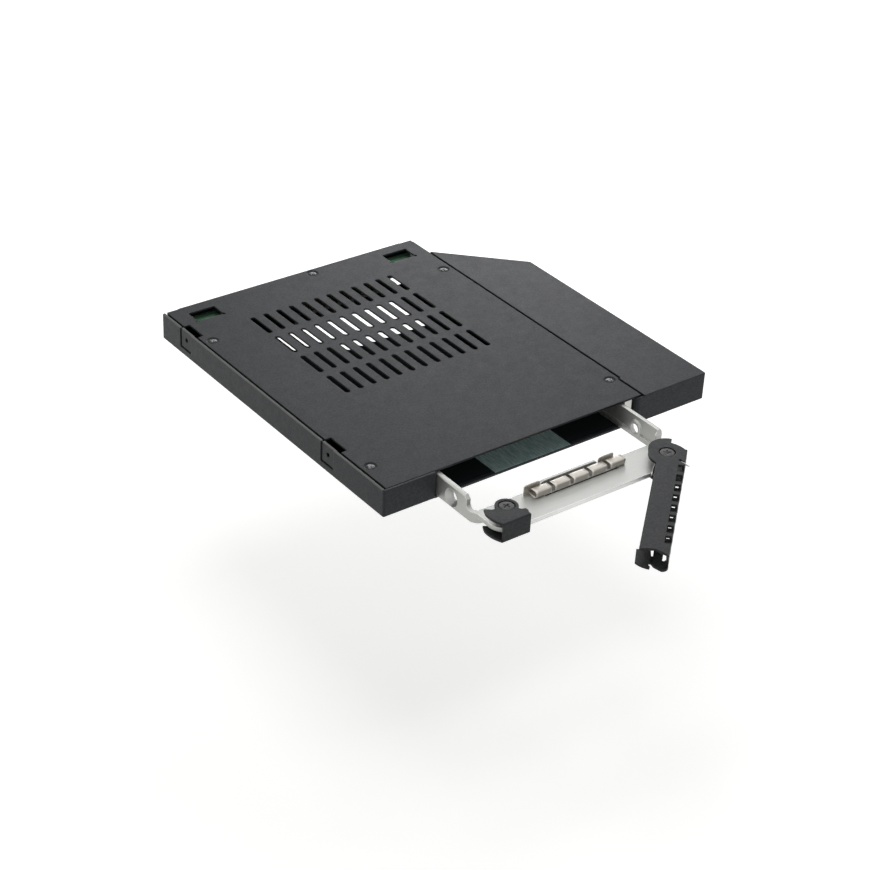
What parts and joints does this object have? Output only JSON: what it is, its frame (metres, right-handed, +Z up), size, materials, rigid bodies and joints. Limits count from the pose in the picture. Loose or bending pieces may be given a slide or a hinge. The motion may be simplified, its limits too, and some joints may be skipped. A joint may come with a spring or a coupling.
{
  "type": "hard drive mobile rack",
  "caption": "Slim sheet-metal bay frame for a small drive, with a sliding open tray, a front clip and a swing-out locking lever, shown pulled part of the way out.",
  "frame": {"origin": "underside of the chassis floor, midway along its width and depth", "axes": "+Z up through the cover, +Y towards the rear connector, so the tray slides out along -Y, +X towards the wing side"},
  "size_m": [0.128, 0.1961, 0.0095],
  "materials": {
    "charcoal_paint": "fine matt powder coat",
    "black_paint": "satin paint, worn at the edges",
    "bare_steel": "plain, lightly brushed",
    "dark_steel": "blackened screw steel",
    "tray_aluminium": "satin sheet with tumbled edges",
    "nickel_strip": "nickel plated spring sheet",
    "board_green": "solder mask",
    "black_plastic": "moulded",
    "contact_gold": "gold flash"
  },
  "bodies": {
    "chassis": {"base_shell": "charcoal_paint", "top_cover": "charcoal_paint", "wing_shell": "charcoal_paint", "cover_posts": "bare_steel", "cover_screws": "bare_steel", "guide_rail_left": "bare_steel", "guide_rail_right": "bare_steel", "catch_bracket": "bare_steel", "rivets": "bare_steel", "backplane_board": "board_green", "board_spacers": "bare_steel", "board_screws": "bare_steel", "drive_receptacle": "black_plastic", "receptacle_contacts": "contact_gold", "rear_connector": "black_plastic", "rear_contacts": "contact_gold"},
    "tray": {"tray_frame": "tray_aluminium", "finger_strip": "nickel_strip", "tray_clip": "black_paint", "clip_screw": "dark_steel", "pivot_screw": "dark_steel"},
    "lever": {"lever_arm": "black_paint", "torsion_spring": "bare_steel", "pawl_pin": "dark_steel"},
    "latch": {"latch_pawl": "black_paint"}
  },
  "joints": [
    {"name": "tray_slide", "type": "slide", "parent": "chassis", "child": "tray", "axis": [0, 1, 0], "range_m": [-0.085, 0.0305]},
    {"name": "lever_pivot", "type": "hinge", "parent": "tray", "child": "lever", "pos_m": [0.0231, -0.0906, 0.0045], "axis": [0, 0, 1], "range_deg": [-42.6, 47.4], "stiffness_Nm_per_rad": 0.01},
    {"name": "pawl_pivot", "type": "hinge", "parent": "lever", "child": "latch", "pos_m": [-0.00698, -0.11772, 0.00245], "axis": [0, 0, 1], "range_deg": [0, 6], "stiffness_Nm_per_rad": 0.005}
  ]
}
